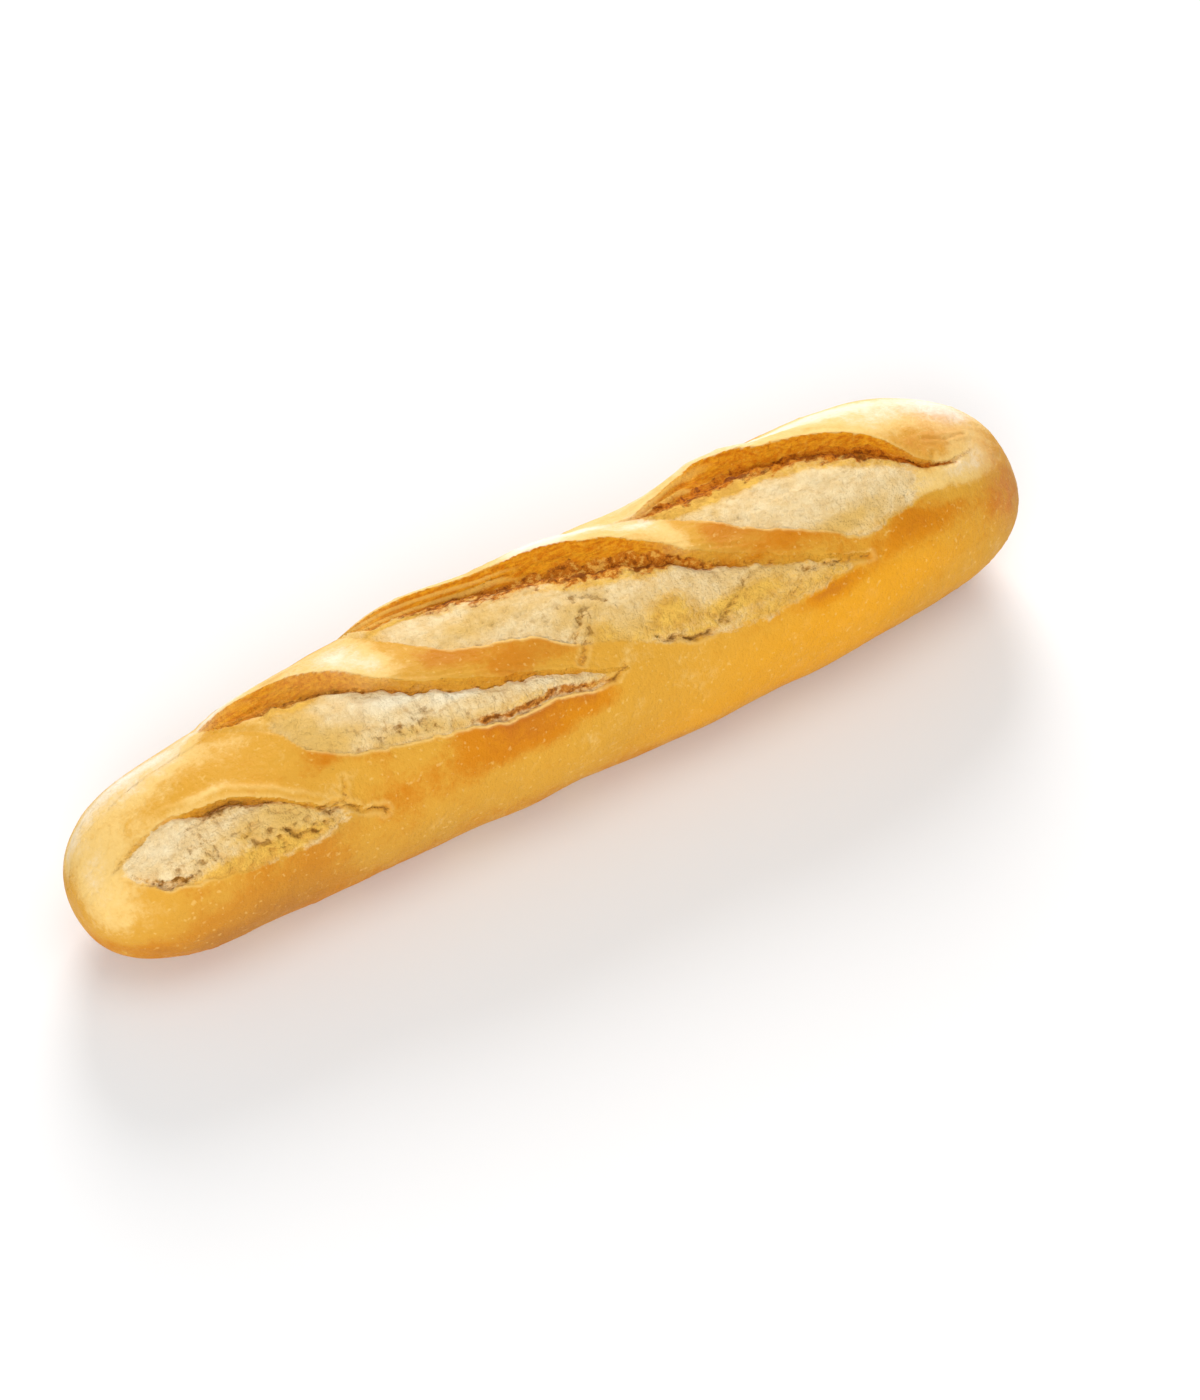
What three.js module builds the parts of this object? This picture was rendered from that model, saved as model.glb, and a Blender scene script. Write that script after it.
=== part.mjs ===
// A short baguette: one solid loaf with round ends, a flat underside and four long slanting cuts across its
// crown. Each cut has opened in the oven. Behind it the crust stands up as an ear with a steep torn wall, at
// the foot of the wall is a crevice, and in front of that the crumb swells out to the crust's lower edge.
//
// X runs along the loaf, +Y is its back, where the cuts start, and +Z is up. The underside is at Z = 0.
import * as THREE from "three";

// Driving dimensions, in millimetres.
const LENGTH = 274;
const WIDTH = 62;
const HEIGHT = 53;
const CENTRE_HEIGHT = 0.44 * HEIGHT; // of the loaf's widest line above the underside
const UNDERSIDE_CUT = 3.5; // how far the round form would reach below the flat underside

// The loaf's ends are superellipses. Its body gets fuller from left to right and bends a little. The rows are read
// at even steps along it: the share of its full size that the body has, and how far in millimetres it lies to
// the back.
const LEFT_END = { length: 48.5, power: 2.57 };
const RIGHT_END = { length: 86.5, power: 2.98 };
const BODY = [0.81, 0.857, 0.951, 0.982, 0.986, 1.044, 1.026];
const BEND = [-4.3, -3.2, -1.8, -3.5, -4, -3, -5.9];

// Every cut: how far the ear's rise and the lower edge's ridge reach over the crust, how much of the crumb's
// width its crevice takes and how high the crumb swells. A cut shows from the narrow width on, and is at its
// full depth from the wide one on.
const EAR_REACH = 9;
const RIDGE_REACH = 2.6;
const CREVICE_SHARE = 0.22;
const CRUMB_SWELL = 1.3;
const NARROW = 1.6;
const WIDE = 6;

// The cuts, from the left end to the right one. from and to are places along X. The other rows are read at
// even steps from one to the other: lip, low and gap are angles round the loaf in degrees, from the crown
// towards the front, and ear, depth and step are heights in millimetres. The wall stands between lip and
// lip + gap, and the crumb reaches from there to low, where it lies step below the crust.
const CUTS = [
  {
    from: -128,
    to: -63,
    lip: [21, 12, 14.5, 19.5, 34, 49, 63.5],
    gap: [0, 2, 3, 4, 2.5, 2, 0],
    low: [22, 50, 56, 60, 63, 62, 64],
    ear: [0, 0.5, 1.1, 1.3, 0.9, 0.4, 0],
    depth: [0, 0.9, 1.4, 1.5, 1.2, 0.8, 0],
    step: [0, 0.5, 0.9, 0.5, 0.3, 0.3, 0],
  },
  {
    from: -91.5,
    to: 7.5,
    lip: [-42, -33, -12, 11, 25.5, 35.5, 49],
    gap: [3, 14, 10.5, 6, 4, 2.5, 0],
    low: [-38, 13.5, 34.5, 42.5, 49, 50, 52],
    ear: [0.2, 2.7, 3.3, 1.7, 1, 0.5, 0],
    depth: [0.2, 1.4, 1.8, 1.6, 1.2, 0.8, 0],
    step: [0, 0.3, 0.4, 0.4, 1, 1.2, 0],
  },
  {
    from: -47.5,
    to: 81,
    lip: [-50, -40.5, -28.5, -15, 12.5, 34.5, 52.5],
    gap: [4, 9, 12.5, 15, 8, 3, 0],
    low: [-45, 7.5, 26, 43.5, 54.5, 56.5, 53.5],
    ear: [0.2, 3.2, 4.3, 4.3, 2.2, 0.5, 0],
    depth: [0.2, 1.4, 1.8, 1.9, 1.6, 1, 0],
    step: [0, 0.4, 0.5, 0.2, 0.5, 0.5, 0],
  },
  {
    from: 30,
    to: 123.5,
    lip: [-26, -32, -32.5, -16.5, -2.5, 24, 20],
    gap: [2, 12, 11.5, 7.5, 8.5, 2, 0],
    low: [-23, 0.5, 21.5, 39, 44.5, 37.5, 22],
    ear: [0, 3, 4.4, 4.2, 2.7, 1, 0],
    depth: [0.2, 1.4, 1.8, 1.9, 1.7, 1, 0],
    step: [0, 0.3, 0.4, 0.3, 0.3, 0.1, 0],
  },
];

// Slow rises and dips of the whole crust: waves with a height, a length along X and a count to a turn.
const DENTS = [
  { height: 0.35, length: 83, toATurn: 2, phase: 0.7 },
  { height: 0.25, length: 47, toATurn: 4, phase: 2.9 },
  { height: 0.15, length: 29, toATurn: -5, phase: 4.4 },
];

// The torn crumb's own crags: finer waves of the same kind.
const CRAGS = [
  { height: 0.24, length: 14.5, toATurn: 8, phase: 1.1 },
  { height: 0.17, length: -10.3, toATurn: 15, phase: 3.6 },
];

// The surface mesh: rings along the loaf, and steps round each ring, shorter over the crown than underneath.
const RINGS = 102;
const CROWN = { from: -62, to: 82, steps: 36 };
const UNDER_STEPS = 18;

const radians = (degrees) => (degrees * Math.PI) / 180;
const clamp01 = (t) => Math.min(1, Math.max(0, t));
const smooth = (t) => clamp01(t) ** 2 * (3 - 2 * clamp01(t));
const mix = (a, b, t) => a + (b - a) * t;

// A smooth curve through evenly spaced values, read at t from 0 to 1.
function along(values, t) {
  const last = values.length - 1;
  const place = clamp01(t) * last;
  const i = Math.min(Math.floor(place), last - 1);
  const f = place - i;
  const [a, b] = [values[i], values[i + 1]];
  const before = values[Math.max(i - 1, 0)];
  const after = values[Math.min(i + 2, last)];
  const bend = 2 * before - 5 * a + 4 * b - after + f * (3 * (a - b) + after - before);
  return a + 0.5 * f * (b - before + f * bend);
}

// The share of its full size that a round end leaves the loaf, at a distance from the tip.
function endShare(distance, end) {
  return (1 - (1 - clamp01(distance / end.length)) ** end.power) ** (1 / end.power);
}

// The loaf's section at x: the share of its full size that its round ends leave, the share that its body has,
// and how far it lies to the back.
function section(x) {
  const ends = endShare(x + LENGTH / 2, LEFT_END) * endShare(LENGTH / 2 - x, RIGHT_END);
  const t = x / LENGTH + 0.5;
  return { ends, body: along(BODY, t), bend: along(BEND, t) };
}

// Where a cut's lip, the foot of its wall and its lower edge lie at x, in degrees round the loaf, and how far
// the cut is open there, from 0 to 1.
function edges(cut, x, mmPerDegree) {
  const t = (x - cut.from) / (cut.to - cut.from);
  const lip = along(cut.lip, t);
  const foot = lip + along(cut.gap, t);
  const low = Math.max(along(cut.low, t), foot);
  const width = t > 0 && t < 1 ? (low - lip) * mmPerDegree : 0;
  return { t, lip, foot, low, open: smooth((width - NARROW) / (WIDE - NARROW)) };
}

// The height of a set of waves, in millimetres, at an angle in degrees.
function waves(rows, x, angle) {
  const turns = rows.map((w) => x / w.length + (angle / 360) * w.toATurn);
  return rows.reduce((sum, w, i) => sum + w.height * Math.sin(2 * Math.PI * turns[i] + w.phase), 0);
}

// How far one cut moves the surface out or in, in millimetres, at an angle in degrees.
function cutRelief(cut, x, angle, mmPerDegree) {
  const { t, lip, foot, low, open } = edges(cut, x, mmPerDegree);
  if (open === 0) return 0;
  const ear = open * along(cut.ear, t);
  const depth = open * along(cut.depth, t);
  const ridge = 0.5 * open * along(cut.step, t);
  if (angle <= lip) return ear * Math.exp(-((((lip - angle) * mmPerDegree) / EAR_REACH) ** 1.6));
  if (angle < foot) return mix(ear, -depth, (angle - lip) / (foot - lip));
  if (angle >= low) return ridge * Math.exp(-((angle - low) * mmPerDegree) / RIDGE_REACH);
  const q = (angle - foot) / (low - foot);
  const crevice = depth * clamp01(1 - q / CREVICE_SHARE) ** 2;
  const swell = open * CRUMB_SWELL * Math.sin(Math.PI * t) * Math.sin(Math.PI * q);
  const crags = open * waves(CRAGS, x, angle) * smooth(4 * q);
  return swell + crags - crevice - ridge * smooth((q - 0.8) / 0.2);
}

// A point of the loaf's surface, x along it and at an angle in degrees from the crown towards the front.
function surface(x, angle) {
  const { ends, body, bend } = section(x);
  const share = ends * body;
  const mmPerDegree = Math.max(radians(WIDTH / 2) * share, 0.05);
  const cuts = CUTS.reduce((sum, cut) => sum + cutRelief(cut, x, angle, mmPerDegree), 0);
  const relief = cuts + waves(DENTS, x, angle) * ends;
  const [sin, cos] = [Math.sin(radians(angle)), Math.cos(radians(angle))];
  const halfHeight = cos > 0 ? HEIGHT - CENTRE_HEIGHT : CENTRE_HEIGHT + UNDERSIDE_CUT;
  const y = bend - (0.5 * WIDTH * share + relief) * sin;
  const z = CENTRE_HEIGHT * body + (halfHeight * share + relief) * cos;
  return { place: new THREE.Vector3(x, y, Math.max(z, 0)), relief };
}

// Places along X that are evenly spaced over the loaf's outline, so that the round ends get enough rings.
function ringPlaces(count) {
  const outline = Array.from({ length: 2001 }, (_, i) => {
    const x = -0.5 * LENGTH * Math.cos((Math.PI * i) / 2000);
    return new THREE.Vector2(x, 0.5 * WIDTH * section(x).ends);
  });
  const run = outline.map(() => 0);
  for (let i = 1; i < outline.length; i++) run[i] = run[i - 1] + outline[i].distanceTo(outline[i - 1]);
  const total = run[run.length - 1];
  return Array.from({ length: count }, (_, k) => {
    const wanted = (total * (k + 1)) / (count + 1);
    return outline[run.findIndex((r) => r >= wanted)].x;
  });
}

// The angles of one ring's points, and edgeAt with the edge of a cut that a point is on, if any. Each cut's
// lip, foot and lower edge has the point nearest to it, though from one ring to the next it moves on by one
// point at most. The other points are evenly spaced between them.
function ringAngles(x, before) {
  const mmPerDegree = radians(WIDTH / 2) * section(x).ends * section(x).body;
  const marks = CUTS.flatMap((cut, i) => {
    const { lip, foot, low, open } = edges(cut, x, mmPerDegree);
    if (open === 0) return [];
    return [
      { edge: "lip " + i, angle: lip },
      { edge: "foot " + i, angle: foot },
      { edge: "low " + i, angle: low },
    ];
  });
  const edgeAt = [];
  const stops = [{ at: 0, angle: CROWN.from }];
  for (const { edge, angle } of marks.sort((a, b) => a.angle - b.angle)) {
    const nearest = Math.round((CROWN.steps * (angle - CROWN.from)) / (CROWN.to - CROWN.from));
    const was = before.edgeAt.indexOf(edge);
    const kept = was < 0 ? nearest : Math.min(was + 1, Math.max(was - 1, nearest));
    const at = Math.max(kept, stops[stops.length - 1].at + 1);
    stops.push({ at, angle });
    edgeAt[at] = edge;
  }
  stops.push({ at: CROWN.steps, angle: CROWN.to });
  stops.push({ at: CROWN.steps + UNDER_STEPS, angle: 360 + CROWN.from });
  const angles = [];
  for (let j = 1; j < stops.length; j++) {
    const [from, to] = [stops[j - 1], stops[j]];
    const steps = to.at - from.at;
    for (let k = 0; k < steps; k++) angles.push(mix(from.angle, to.angle, k / steps));
  }
  return { angles, edgeAt };
}

// Whether the diagonal from a to c suits the corners of a face better than the one from b to d: it does where
// it keeps to one edge of a cut, and elsewhere where it keeps more to one height.
function joinsAcross(a, b, c, d) {
  if (a.edge && a.edge === c.edge) return true;
  if (b.edge && b.edge === d.edge) return false;
  return Math.abs(a.relief - c.relief) <= Math.abs(b.relief - d.relief);
}

// The closed surface: a ring of points at each place, joined to the next, and a tip at each end.
function loafGeometry() {
  const rings = [];
  let ring = { edgeAt: [] };
  for (const x of ringPlaces(RINGS)) {
    ring = ringAngles(x, ring);
    rings.push(ring.angles.map((angle, k) => ({ ...surface(x, angle), edge: ring.edgeAt[k] })));
  }
  const round = rings[0].length;
  const tips = [-0.5 * LENGTH, 0.5 * LENGTH].map((x) => surface(x, 0).place);
  const points = [tips[0], ...rings.flat().map((p) => p.place), tips[1]];
  const at = (i, k) => 1 + i * round + (k % round);
  const faces = [];
  for (let k = 0; k < round; k++) {
    faces.push(0, at(0, k + 1), at(0, k));
    faces.push(points.length - 1, at(RINGS - 1, k), at(RINGS - 1, k + 1));
  }
  for (let i = 0; i < RINGS - 1; i++) {
    for (let k = 0; k < round; k++) {
      const next = (k + 1) % round;
      const [a, b, c, d] = [at(i, k), at(i + 1, k), at(i + 1, next), at(i, next)];
      const corners = [rings[i][k], rings[i + 1][k], rings[i + 1][next], rings[i][next]];
      if (joinsAcross(...corners)) faces.push(a, c, b, a, d, c);
      else faces.push(a, d, b, b, d, c);
    }
  }
  const geometry = new THREE.BufferGeometry().setFromPoints(points);
  geometry.setIndex(faces);
  geometry.computeBoundingBox();
  const middle = geometry.boundingBox.getCenter(new THREE.Vector3());
  geometry.translate(-middle.x, -middle.y, -geometry.boundingBox.min.z);
  geometry.computeVertexNormals();
  return geometry;
}

const crust = new THREE.MeshStandardMaterial({ color: 0xe0a049, roughness: 0.62, metalness: 0 });

const loaf = new THREE.Mesh(loafGeometry(), crust);
loaf.name = "loaf";

const baguette = new THREE.Group();
baguette.add(loaf);

export default baguette;
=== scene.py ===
"""A short baguette on a pale floor: the loaf's fine surface, its crust and crumb, the light and the camera."""

import math

import bpy
import numpy as np
from mathutils import Matrix, Vector


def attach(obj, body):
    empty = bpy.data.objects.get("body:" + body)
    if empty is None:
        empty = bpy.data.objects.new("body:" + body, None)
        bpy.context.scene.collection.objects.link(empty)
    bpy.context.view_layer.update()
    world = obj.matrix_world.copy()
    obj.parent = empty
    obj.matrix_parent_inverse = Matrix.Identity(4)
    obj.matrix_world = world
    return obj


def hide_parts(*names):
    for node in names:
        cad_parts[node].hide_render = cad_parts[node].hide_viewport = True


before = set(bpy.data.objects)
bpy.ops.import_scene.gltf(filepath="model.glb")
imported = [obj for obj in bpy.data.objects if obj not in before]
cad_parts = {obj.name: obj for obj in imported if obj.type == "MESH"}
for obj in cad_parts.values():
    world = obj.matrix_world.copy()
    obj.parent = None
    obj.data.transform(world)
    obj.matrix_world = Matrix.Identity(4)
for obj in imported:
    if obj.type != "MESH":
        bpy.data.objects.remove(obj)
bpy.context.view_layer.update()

# ---- The loaf's form: millimetres, and degrees round the loaf from the crown towards the front ----

MM = 0.001
LENGTH, WIDTH, HEIGHT = 274.0, 62.0, 53.0
MM_PER_DEGREE = math.radians(WIDTH / 2)
CENTRE_HEIGHT = 0.44 * HEIGHT
UNDERSIDE_CUT = 3.5
LEFT_END = {"length": 48.5, "power": 2.57}
RIGHT_END = {"length": 86.5, "power": 2.98}
# The share of its full size that the body has, and how far it lies to the back, as (x, value) points.
BODY = [(-137.0, 0.81), (-91.3, 0.857), (-45.7, 0.951), (0, 0.982), (45.7, 0.986), (91.3, 1.044), (137.0, 1.026)]
BEND = [(-137.0, -4.3), (-91.3, -3.2), (-45.7, -1.8), (0, -3.5), (45.7, -4.0), (91.3, -3.0), (137.0, -5.9)]

# What the cuts share. A cut is closed up to one width and wide open from another. An ear falls off behind its lip by
# this power and leans by this share of its height, and the wall below it is hollowed by this power.
NARROW, WIDE = 1.6, 6.0
EAR_FALL, EAR_LEAN = 1.6, 0.3
WALL_HOLLOW = 2.2
# The torn wall's ledge: where it is, how wide and how high, as shares of the wall. Its layers: how many and how high.
LEDGE, LEDGE_WIDTH, LEDGE_HEIGHT = 0.42, 0.07, 0.12
LAYERS, LAYER_HEIGHT = 2.6, 0.5
CREVICE_WIDTH = 2.4
CRUMB_SWELL = 0.9
# The crumb's lower edge: how far in its groove lies, how far its ridge reaches over the crust, and how wide its step
# and its crumb's edge are where it is soft and where it is crisp.
GROOVE_INSIDE, GROOVE_WIDTH = 1.2, 1.1
RIDGE_REACH = 2.6
STEP_WIDTHS = (4.0, 1.6)
CRUMB_EDGES = (2.2, 0.35)

# Each cut, as numbers or as (x, value) points. Its lines are angles: lip, the wall's foot, and low, the lower edge.
# - ear, depth, step and groove: the height of its ear and the depth of its crevice, its lower edge's step and groove;
# - reach: how far its ear slopes down behind the lip, in millimetres;
# - ragged and crisp: how ragged its lip is, and how crisp its lower edge;
# - dark, warm, torn_from and frayed: how strong the torn band under its ear is, which is partly painted shade, and
#   the painted shade dotted along its foot, how orange the band is, at what share of the wall it starts, and how many
#   millimetres of the crumb it covers;
# - tone, layered: how much of a torn wall's colour its wall has, and how clearly it shows layers;
# - shown, fibrous: how much its crumb shows, and how fibrous it is;
# - light, outer_rim: how strong the painted highlight along its lip is, and a second raised rim further up the crust
#   with a painted highlight;
# - under: how much darker the crust just below it is.
CUTS = [
    {
        "lip": [(-128.5, 20.5), (-125, 17.5), (-122, 15), (-118, 12), (-112, 11), (-108.5, 13), (-104.5, 15.5),
                (-100.5, 16), (-97.5, 18), (-94.5, 20.5), (-92, 24), (-89, 27.5), (-87, 30.5), (-83, 36.5), (-80, 41),
                (-78, 44.5), (-71, 52), (-67, 58), (-63, 63.5)],
        "foot": [(-128.5, 22), (-122, 15.5), (-112, 11.5), (-107.5, 14.5), (-104.5, 18.5), (-100.5, 19),
                 (-97.5, 20.5), (-95, 23.5), (-92, 27), (-89, 30), (-87, 31.5), (-83, 37), (-78, 45), (-71, 52.5),
                 (-67, 58.5), (-63, 63.5)],
        "low": [(-128.5, 26.5), (-126.8, 32), (-122.5, 41.5), (-118.5, 48.5), (-113, 53), (-106, 56), (-99.5, 58.5),
                (-91.5, 61.5), (-83.5, 63), (-76.5, 62.5), (-71, 61.5), (-65, 62.5), (-63, 64)],
        "ear": [(-128.5, 0), (-118, 0.2), (-108.5, 0.7), (-102.5, 1.4), (-93, 1.4), (-87, 1.0), (-79, 0.6), (-63, 0)],
        "depth": [(-128.5, 0), (-116, 0.3), (-106.5, 0.8), (-102.5, 2.1), (-94, 1.9), (-89.5, 1.4), (-87, 0.8),
                  (-71, 0.7), (-63, 0)],
        "step": [(-128.5, 0), (-118, 0.5), (-106.5, 0.5), (-86, 0.2), (-63, 0)],
        "groove": [(-128.5, 0), (-123, 0.6), (-115, 0.8), (-110.5, 0.2), (-63, 0)],
        "dark": [(-128.5, 0), (-107.5, 0), (-103.5, 0.55), (-96, 0.55), (-92.5, 0.55), (-88, 0.55), (-86, 0.4),
                 (-71, 0.3), (-63, 0)],
        "under": [(-128.5, 0), (-110.5, 0.35), (-81, 0.35), (-63, 0)],
        "reach": 3.5,
        "outer_rim": 1.0,
        "warm": 0.0,
        "shown": [(-128.5, 0.7), (-110.5, 1), (-89, 1), (-79, 0.75), (-63, 0.4)],
        "fibrous": 0.5,
        "tone": [(-128.5, 0.1), (-104.5, 0.35), (-91, 0.3), (-63, 0.1)],
        "crisp": [(-128.5, 0.2), (-118, 0.5), (-110.5, 0.4), (-104.5, 0.1), (-63, 0)],
        "ragged": [(-128.5, 0.3), (-63, 0.5)],
        "frayed": [(-128.5, 0.5), (-108, 0.8), (-103, 3.2), (-96, 3.0), (-91, 1.8), (-86, 0.9), (-63, 0.8)],
        "torn_from": [(-128.5, 0.3), (-63, 0.3)],
        "light": [(-128.5, 0.3), (-110, 0.9), (-85, 0.7), (-63, 0.2)],
        "layered": [(-128.5, 0.1), (-63, 0.1)],
    },
    {
        "lip": [(-91.5, -42), (-89, -40), (-84, -37.5), (-79.5, -35.5), (-74.5, -32.5), (-69.5, -27.5), (-65, -21.5),
                (-60, -13.5), (-57, -8), (-53, -0.5), (-49, 5.5), (-43, 12), (-35, 19.5), (-27.5, 25.5),
                (-20.5, 29.5), (-15, 32.5), (-9, 36.5), (-1.5, 43), (7.5, 49)],
        "foot": [(-92, -40), (-88, -25), (-84, -21), (-80, -20), (-75, -18), (-70, -13), (-65, -8), (-60, -2.5),
                 (-57, 1), (-51, 8.5), (-44.5, 15.5), (-37, 22.5), (-28.5, 29), (-20.5, 32.5), (-13, 35.5),
                 (-4, 42.5), (7.5, 50)],
        "low": [(-92, -39), (-88, -23), (-83, -11), (-79.5, -3.5), (-77.5, 2), (-76.5, 7.5), (-74.5, 15),
                (-69.5, 23.5), (-63.5, 30.5), (-56.5, 36), (-49.5, 40.5), (-42.5, 43.5), (-38.5, 45), (-33.5, 46.5),
                (-30.5, 48), (-26, 49), (-21, 49), (-14, 48.5), (-9.5, 49.5), (-5.5, 51), (0.5, 52), (7.5, 52)],
        "ear": [(-91.5, 0.2), (-83, 2.2), (-75.5, 2.7), (-67.5, 3.2), (-60, 3.3), (-52, 2.7), (-44, 1.8),
                (-34.5, 1.3), (-24.5, 1.0), (-13, 0.7), (-1.5, 0.3), (7.5, 0)],
        "depth": [(-91.5, 0.2), (-79.5, 1.0), (-60, 1.3), (-40, 1.1), (-25.5, 1.0), (-11, 0.8), (7.5, 0)],
        "step": [(-91.5, 0), (-75.5, 0.4), (-55, 0.5), (-40, 0.5), (-30.5, 1.0), (-11, 1.2), (2.5, 0.9), (7.5, 0)],
        "groove": [(-91.5, 0), (-42, 0), (-34.5, 0.4), (-29.5, 1.1), (-13, 1.1), (-9, 0.8), (2.5, 0.8), (7.5, 0)],
        "dark": [(-91.5, 0), (-87, 0.4), (-74.5, 0.7), (-66, 0.55), (-58, 0.75), (-45, 0.75), (-35, 0.75),
                 (-20.5, 0.65), (-11, 0.4), (7.5, 0)],
        "under": [(-91.5, 0), (-71.5, 0.4), (-66, 0.3), (-50, 0.1), (-38, 0.6), (-28.5, 1), (-7, 1), (2.5, 0.6),
                  (7.5, 0.2)],
        "reach": 9.0,
        "outer_rim": 0.0,
        "warm": 0.35,
        "shown": [(-91.5, 0), (-82, 0), (-75.5, 1), (7.5, 1)],
        "fibrous": 1.0,
        "tone": [(-91.5, 0.6), (-84, 0.9), (-70, 0.85), (-60, 0.8), (-52, 0.5), (-42, 0.3), (7.5, 0.15)],
        "crisp": [(-91.5, 0), (-79.5, 0.4), (-71.5, 1), (7.5, 1)],
        "ragged": [(-91.5, 0.2), (-60, 0.3), (-40, 0.6), (7.5, 0.6)],
        "frayed": [(-91.5, 1.2), (-80, 2.4), (-68, 2.0), (-60, 0.9), (-48, 0.4), (-20, 0.4), (-8, 0.4), (7.5, 0.4)],
        "torn_from": [(-91.5, 0.6), (-72, 0.6), (-60, 0.55), (-46, 0.72), (7.5, 0.7)],
        "light": [(-91.5, 0.9), (-62, 0.8), (-48, 0.3), (-30, 0.1), (7.5, 0.1)],
        "layered": [(-91.5, 0.5), (-62, 0.3), (-50, 0.1), (7.5, 0)],
    },
    {
        "lip": [(-47.5, -53), (-42, -46.5), (-34, -43), (-26, -40.5), (-20.5, -36.5), (-14, -32.5), (-9, -30.5),
                (-4.5, -28.5), (0.5, -26.5), (5.5, -24), (10, -20.5), (15, -16), (20, -12.5), (24.5, -6.5), (29.5, 0),
                (34, 7), (39, 13.5), (44.5, 19.5), (50.5, 25), (58, 33), (65.5, 40), (73.5, 46.5), (81, 52.5)],
        "foot": [(-48, -48), (-43, -35), (-35, -33.5), (-27, -32), (-21, -28.5), (-14.5, -22.5), (-10, -19),
                 (-6, -17), (2, -11), (8.5, -5.5), (15.5, -1), (22.5, 5), (29, 10.5), (34, 15), (39.5, 22),
                 (44.5, 25.5), (50.5, 29.5), (56, 34.5), (63.5, 41), (73.5, 48), (81, 53)],
        "low": [(-48, -48), (-45.5, -26), (-41.5, -13.5), (-38, -7), (-34, -1.5), (-30, 4.5), (-25, 8.5),
                (-20.5, 11.5), (-15.5, 14.5), (-10.5, 17.5), (-7, 22), (-4, 27), (-1, 30), (4, 33), (8.5, 37),
                (14.5, 42), (20.5, 46), (26, 50.5), (32, 52.5), (38, 54.5), (47.5, 56.5), (57.5, 56.5), (67.5, 55.5),
                (77, 55), (81, 53.5)],
        "ear": [(-47.5, 0.2), (-38, 2.4), (-26, 3.2), (-15, 3.9), (-5.5, 4.3), (8.5, 4.5), (18, 4.3), (27.5, 3.4),
                (37, 2.3), (46.5, 1.3), (58, 0.6), (81, 0)],
        "depth": [(-47.5, 0.2), (-26, 0.9), (-5.5, 1.2), (16, 1.3), (38, 1.2), (48.5, 0.8), (81, 0)],
        "step": [(-47.5, 0), (-26, 0.5), (-7, 0.7), (0.5, 0.3), (10, 0.2), (42, 0.2), (81, 0)],
        "groove": [(-47.5, 0), (25.5, 0), (81, 0)],
        "dark": [(-47.5, 0.3), (-36, 0.45), (-28, 0.85), (-22, 1), (29.5, 1), (34, 0.8), (39, 0.5), (46, 0.25),
                 (81, 0.15)],
        "under": [(-47.5, 0), (-28, 0.2), (-5.5, 0.3), (2.5, 0), (56, 0), (63.5, 0.6), (75.5, 0.6), (81, 0.3)],
        "reach": 9.0,
        "outer_rim": 0.0,
        "warm": 0.85,
        "shown": [(-47.5, 0.3), (-40, 1), (24.5, 1), (41, 0.8), (81, 0.6)],
        "fibrous": 0.5,
        "tone": [(-47.5, 0.5), (-38, 0.9), (-24, 1), (23.5, 1), (33, 0.6), (40, 0.2), (81, 0)],
        "crisp": [(-47.5, 0), (-38, 0.3), (-30, 1), (-4.5, 1), (0.5, 0.4), (12, 0.1), (81, 0)],
        "ragged": [(-47.5, 0.2), (0.5, 0.3), (29.5, 0.6), (81, 0.6)],
        "frayed": [(-47.5, 2.2), (-34, 3.2), (-26, 6.2), (-18, 6.8), (-10, 6.0), (-4, 5.2), (8, 4.8), (20, 4.3),
                   (28, 2.5), (38, 1.3), (81, 0.7)],
        "torn_from": [(-47.5, 0.7), (-24, 0.62), (-12, 0.5), (-2, 0.45), (18, 0.38), (35, 0.3), (81, 0.5)],
        "light": [(-47.5, 1), (0, 0.9), (20, 0.5), (34, 0.1), (81, 0)],
        "layered": [(-47.5, 0.9), (-12, 0.9), (0, 0.35), (15, 0.1), (81, 0)],
    },
    {
        "lip": [(28.5, -27), (32.5, -25), (36.5, -27), (40.5, -29), (46, -32.5), (51, -35.5), (55, -36.5),
                (60.5, -33), (64, -30), (69, -24), (73.5, -19.5), (78, -15.5), (83, -11.5), (87.5, -7.5),
                (92.5, -2.5), (97.5, 4.5), (101, 12.5), (104, 19.5), (107, 23), (111, 25.5), (116, 25), (119.5, 23),
                (123.5, 20)],
        "foot": [(28.5, -25.5), (32, -21), (38, -19), (45, -20), (52, -20.5), (58.5, -21.5), (64, -19.5), (68, -17),
                 (74, -11.5), (80, -6), (86, 0), (92.5, 6), (97.5, 12.5), (102, 18), (105, 22), (109.5, 25.5),
                 (115, 27), (119.5, 25), (123.5, 21)],
        "low": [(28.5, -24), (32, -16.5), (35.5, -12), (39.5, -7.5), (44, -1.5), (49, 4.5), (53.5, 11), (58.5, 18),
                (63, 23.5), (68, 29), (72.5, 34.5), (77.5, 39.5), (83.5, 43), (89.5, 41.5), (95.5, 39.5),
                (99.5, 38.5), (104, 38), (108, 37.5), (113, 35), (118.5, 29.5), (123.5, 22)],
        "ear": [(28.5, 0), (38.5, 2), (47, 3.2), (60.5, 4.4), (76, 4.2), (89.5, 3), (100, 1.9), (104, 1.2),
                (112, 0.7), (123.5, 0)],
        "depth": [(28.5, 0.2), (46, 0.9), (60.5, 1.2), (89.5, 1.3), (102, 1.2), (112, 0.7), (123.5, 0)],
        "step": [(28.5, 0), (46, 0.4), (56, 0.5), (83, 0.4), (92.5, 0.3), (103, 0.1), (123.5, 0)],
        "groove": [(28.5, 0), (123.5, 0)],
        "dark": [(28.5, 0.3), (38, 0.7), (50, 0.75), (56, 1), (64, 1), (67, 0.8), (70.5, 1), (108, 1), (114, 0.6),
                 (123.5, 0)],
        "under": [(28.5, 0), (51, 0.3), (73.5, 0.4), (85.5, 0.2), (95.5, 0.6), (106, 0.3), (123.5, 0)],
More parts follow.
